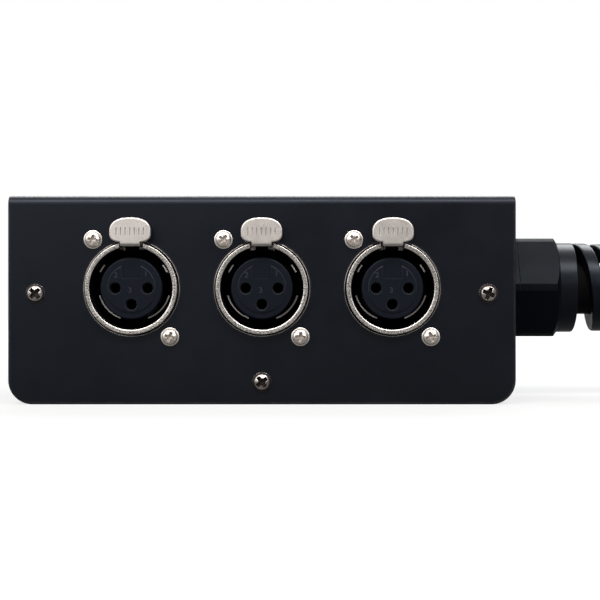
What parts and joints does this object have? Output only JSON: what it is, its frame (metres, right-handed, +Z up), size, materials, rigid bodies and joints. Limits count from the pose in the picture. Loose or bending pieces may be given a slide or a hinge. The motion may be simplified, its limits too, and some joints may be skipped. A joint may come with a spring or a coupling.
{
  "type": "stage box snake",
  "caption": "Small black steel stage box with a row of latching panel sockets on the front and a cable gland with a spiral bend guard on its right end.",
  "frame": {"origin": "middle of the box's flat underside, on the surface it stands on", "axes": "+X along the row of sockets towards the cable gland, +Y from the socket panel to the back, +Z up"},
  "size_m": [0.1893, 0.0895, 0.0516],
  "materials": {
    "black_steel": "satin black powder coat",
    "nickel": "bright nickel plate",
    "dark_nickel": "nickel plated steel screws",
    "carrier_plastic": "moulded, fine matt",
    "contact_brass": "gold flash on brass",
    "gland_nylon": "moulded nylon, satin",
    "seal_rubber": "matt"
  },
  "bodies": {
    "box": {"cover": "black_steel", "base_tray": "black_steel", "cover_screw_front_left": "dark_nickel", "cover_screw_back_left": "dark_nickel", "cover_screw_front_right": "dark_nickel", "cover_screw_back_right": "dark_nickel", "cover_screw_front_low": "dark_nickel", "cover_screw_back_low": "dark_nickel", "socket_1_frame": "nickel", "socket_1_contact_carrier": "carrier_plastic", "socket_1_contact_1": "contact_brass", "socket_1_contact_2": "contact_brass", "socket_1_contact_3": "contact_brass", "socket_1_ground_spring": "nickel", "socket_1_latch_pin": "dark_nickel", "socket_1_latch_leaf": "dark_nickel", "socket_1_screw_upper": "nickel", "socket_1_screw_lower": "nickel", "socket_2_frame": "nickel", "socket_2_contact_carrier": "carrier_plastic", "socket_2_contact_1": "contact_brass", "socket_2_contact_2": "contact_brass", "socket_2_contact_3": "contact_brass", "socket_2_ground_spring": "nickel", "socket_2_latch_pin": "dark_nickel", "socket_2_latch_leaf": "dark_nickel", "socket_2_screw_upper": "nickel", "socket_2_screw_lower": "nickel", "socket_3_frame": "nickel", "socket_3_contact_carrier": "carrier_plastic", "socket_3_contact_1": "contact_brass", "socket_3_contact_2": "contact_brass", "socket_3_contact_3": "contact_brass", "socket_3_ground_spring": "nickel", "socket_3_latch_pin": "dark_nickel", "socket_3_latch_leaf": "dark_nickel", "socket_3_screw_upper": "nickel", "socket_3_screw_lower": "nickel", "gland_washer": "seal_rubber", "gland_body": "gland_nylon", "gland_lock_nut": "gland_nylon", "gland_clamp_cage": "gland_nylon", "gland_sealing_sleeve": "seal_rubber", "gland_nut_with_bend_guard": "gland_nylon"},
    "latch_1": {"socket_1_latch_tab": "nickel"},
    "latch_2": {"socket_2_latch_tab": "nickel"},
    "latch_3": {"socket_3_latch_tab": "nickel"}
  },
  "joints": [
    {"name": "latch_1_press", "type": "hinge", "parent": "box", "child": "latch_1", "pos_m": [-0.0322, -0.036, 0.041], "axis": [-1, 0, 0], "range_deg": [0, 12], "stiffness_Nm_per_rad": 0.03, "springref_deg": -17.19, "deforming": ["socket_1_latch_leaf"]},
    {"name": "latch_2_press", "type": "hinge", "parent": "box", "child": "latch_2", "pos_m": [0, -0.036, 0.041], "axis": [-1, 0, 0], "range_deg": [0, 12], "stiffness_Nm_per_rad": 0.03, "springref_deg": -17.19, "deforming": ["socket_2_latch_leaf"]},
    {"name": "latch_3_press", "type": "hinge", "parent": "box", "child": "latch_3", "pos_m": [0.0322, -0.036, 0.041], "axis": [-1, 0, 0], "range_deg": [0, 12], "stiffness_Nm_per_rad": 0.03, "springref_deg": -17.19, "deforming": ["socket_3_latch_leaf"]}
  ]
}
